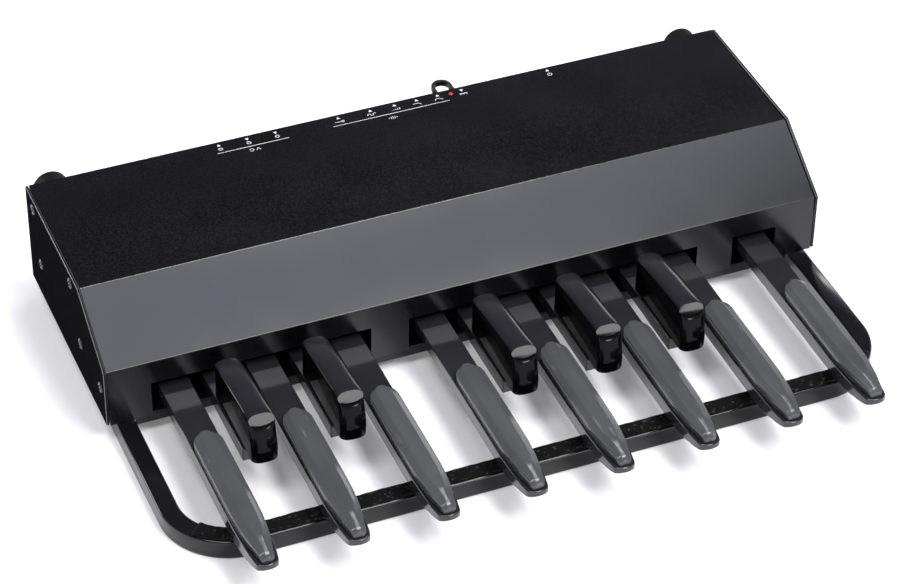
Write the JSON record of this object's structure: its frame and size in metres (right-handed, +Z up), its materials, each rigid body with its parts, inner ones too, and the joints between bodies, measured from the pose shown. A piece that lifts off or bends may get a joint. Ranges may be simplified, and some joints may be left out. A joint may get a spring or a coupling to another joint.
{
  "type": "bass pedalboard",
  "caption": "Floor bass pedalboard: long sprung natural and short raised sharp pedals on a bent tube frame, under a black sheet-metal electronics housing with rear sockets and knobs.",
  "frame": {"origin": "middle of the footprint, on the floor under the frame", "axes": "+X along the row of pedals towards the high end, +Y from the pedal tips towards the rear panel, +Z up"},
  "size_m": [0.5496, 0.3888, 0.0978],
  "materials": {
    "housing_paint": "satin black fine texture",
    "frame_paint": "semi-gloss black",
    "arm_paint": "gloss black",
    "grey_cap": "satin dark grey",
    "sharp_gloss": "gloss black",
    "felt": "felt",
    "bumper_rubber": "matte",
    "black_plastic": "satin",
    "red_lens": "gloss red",
    "board": "circuit board",
    "steel": "zinc plated"
  },
  "bodies": {
    "chassis": {"top_cover": "housing_paint", "left_end_plate": "housing_paint", "right_end_plate": "housing_paint", "bottom_pan": "housing_paint", "rear_panel": "housing_paint", "base_frame": "frame_paint", "front_felt": "felt", "stop_felt": "felt", "lower_felt": "felt", "left_bumper": "bumper_rubber", "right_bumper": "bumper_rubber", "cord_hook": "black_plastic", "power_lamp": "red_lens", "midi_out_socket": "black_plastic", "midi_merge_in_socket": "black_plastic", "midi_sound_in_socket": "black_plastic", "line_out_jack": "black_plastic", "dc_inlet": "black_plastic", "main_board": "board", "sensor_board": "board", "stop_rail": "steel", "pivot_rail": "steel", "pivot_rod": "steel"},
    "pedal_c": {"c_arm": "arm_paint", "c_cap": "grey_cap"},
    "pedal_d": {"d_arm": "arm_paint", "d_cap": "grey_cap"},
    "pedal_e": {"e_arm": "arm_paint", "e_cap": "grey_cap"},
    "pedal_f": {"f_arm": "arm_paint", "f_cap": "grey_cap"},
    "pedal_g": {"g_arm": "arm_paint", "g_cap": "grey_cap"},
    "pedal_a": {"a_arm": "arm_paint", "a_cap": "grey_cap"},
    "pedal_b": {"b_arm": "arm_paint", "b_cap": "grey_cap"},
    "pedal_c_high": {"c_high_arm": "arm_paint", "c_high_cap": "grey_cap"},
    "pedal_c_sharp": {"c_sharp_arm": "arm_paint", "c_sharp_cap": "sharp_gloss"},
    "pedal_d_sharp": {"d_sharp_arm": "arm_paint", "d_sharp_cap": "sharp_gloss"},
    "pedal_f_sharp": {"f_sharp_arm": "arm_paint", "f_sharp_cap": "sharp_gloss"},
    "pedal_g_sharp": {"g_sharp_arm": "arm_paint", "g_sharp_cap": "sharp_gloss"},
    "pedal_a_sharp": {"a_sharp_arm": "arm_paint", "a_sharp_cap": "sharp_gloss"},
    "mode_control": {"mode_knob": "black_plastic"},
    "volume_control": {"volume_knob": "black_plastic"},
    "cutoff_control": {"cutoff_knob": "black_plastic"},
    "release_control": {"release_knob": "black_plastic"},
    "power_switch": {"power_button": "black_plastic"}
  },
  "joints": [
    {"name": "pedal_c_press", "type": "hinge", "parent": "chassis", "child": "pedal_c", "pos_m": [-0.22225, 0.14735, 0.0316], "axis": [1, 0, 0], "range_deg": [0, 1.7], "stiffness_Nm_per_rad": 25, "springref_deg": -4.58},
    {"name": "pedal_d_press", "type": "hinge", "parent": "chassis", "child": "pedal_d", "pos_m": [-0.15875, 0.14735, 0.0316], "axis": [1, 0, 0], "range_deg": [0, 1.7], "stiffness_Nm_per_rad": 25, "springref_deg": -4.58},
    {"name": "pedal_e_press", "type": "hinge", "parent": "chassis", "child": "pedal_e", "pos_m": [-0.09525, 0.14735, 0.0316], "axis": [1, 0, 0], "range_deg": [0, 1.7], "stiffness_Nm_per_rad": 25, "springref_deg": -4.58},
    {"name": "pedal_f_press", "type": "hinge", "parent": "chassis", "child": "pedal_f", "pos_m": [-0.03175, 0.14735, 0.0316], "axis": [1, 0, 0], "range_deg": [0, 1.7], "stiffness_Nm_per_rad": 25, "springref_deg": -4.58},
    {"name": "pedal_g_press", "type": "hinge", "parent": "chassis", "child": "pedal_g", "pos_m": [0.03175, 0.14735, 0.0316], "axis": [1, 0, 0], "range_deg": [0, 1.7], "stiffness_Nm_per_rad": 25, "springref_deg": -4.58},
    {"name": "pedal_a_press", "type": "hinge", "parent": "chassis", "child": "pedal_a", "pos_m": [0.09525, 0.14735, 0.0316], "axis": [1, 0, 0], "range_deg": [0, 1.7], "stiffness_Nm_per_rad": 25, "springref_deg": -4.58},
    {"name": "pedal_b_press", "type": "hinge", "parent": "chassis", "child": "pedal_b", "pos_m": [0.15875, 0.14735, 0.0316], "axis": [1, 0, 0], "range_deg": [0, 1.7], "stiffness_Nm_per_rad": 25, "springref_deg": -4.58},
    {"name": "pedal_c_high_press", "type": "hinge", "parent": "chassis", "child": "pedal_c_high", "pos_m": [0.22225, 0.14735, 0.0316], "axis": [1, 0, 0], "range_deg": [0, 1.7], "stiffness_Nm_per_rad": 25, "springref_deg": -4.58},
    {"name": "pedal_c_sharp_press", "type": "hinge", "parent": "chassis", "child": "pedal_c_sharp", "pos_m": [-0.1905, 0.14735, 0.0316], "axis": [1, 0, 0], "range_deg": [0, 1.7], "stiffness_Nm_per_rad": 25, "springref_deg": -4.58},
    {"name": "pedal_d_sharp_press", "type": "hinge", "parent": "chassis", "child": "pedal_d_sharp", "pos_m": [-0.127, 0.14735, 0.0316], "axis": [1, 0, 0], "range_deg": [0, 1.7], "stiffness_Nm_per_rad": 25, "springref_deg": -4.58},
    {"name": "pedal_f_sharp_press", "type": "hinge", "parent": "chassis", "child": "pedal_f_sharp", "pos_m": [0, 0.14735, 0.0316], "axis": [1, 0, 0], "range_deg": [0, 1.7], "stiffness_Nm_per_rad": 25, "springref_deg": -4.58},
    {"name": "pedal_g_sharp_press", "type": "hinge", "parent": "chassis", "child": "pedal_g_sharp", "pos_m": [0.0635, 0.14735, 0.0316], "axis": [1, 0, 0], "range_deg": [0, 1.7], "stiffness_Nm_per_rad": 25, "springref_deg": -4.58},
    {"name": "pedal_a_sharp_press", "type": "hinge", "parent": "chassis", "child": "pedal_a_sharp", "pos_m": [0.127, 0.14735, 0.0316], "axis": [1, 0, 0], "range_deg": [0, 1.7], "stiffness_Nm_per_rad": 25, "springref_deg": -4.58},
    {"name": "mode_turn", "type": "hinge", "parent": "chassis", "child": "mode_control", "pos_m": [-0.011, 0.17585, 0.063], "axis": [0, 1, 0], "range_deg": [-150, 150]},
    {"name": "volume_turn", "type": "hinge", "parent": "chassis", "child": "volume_control", "pos_m": [0.0075, 0.17585, 0.063], "axis": [0, 1, 0], "range_deg": [-150, 150]},
    {"name": "cutoff_turn", "type": "hinge", "parent": "chassis", "child": "cutoff_control", "pos_m": [0.025, 0.17585, 0.063], "axis": [0, 1, 0], "range_deg": [-150, 150]},
    {"name": "release_turn", "type": "hinge", "parent": "chassis", "child": "release_control", "pos_m": [0.0425, 0.17585, 0.063], "axis": [0, 1, 0], "range_deg": [-150, 150]},
    {"name": "power_press", "type": "slide", "parent": "chassis", "child": "power_switch", "axis": [0, -1, 0], "range_m": [0, 0.0025], "stiffness_N_per_m": 500, "springref_m": -0.001}
  ]
}
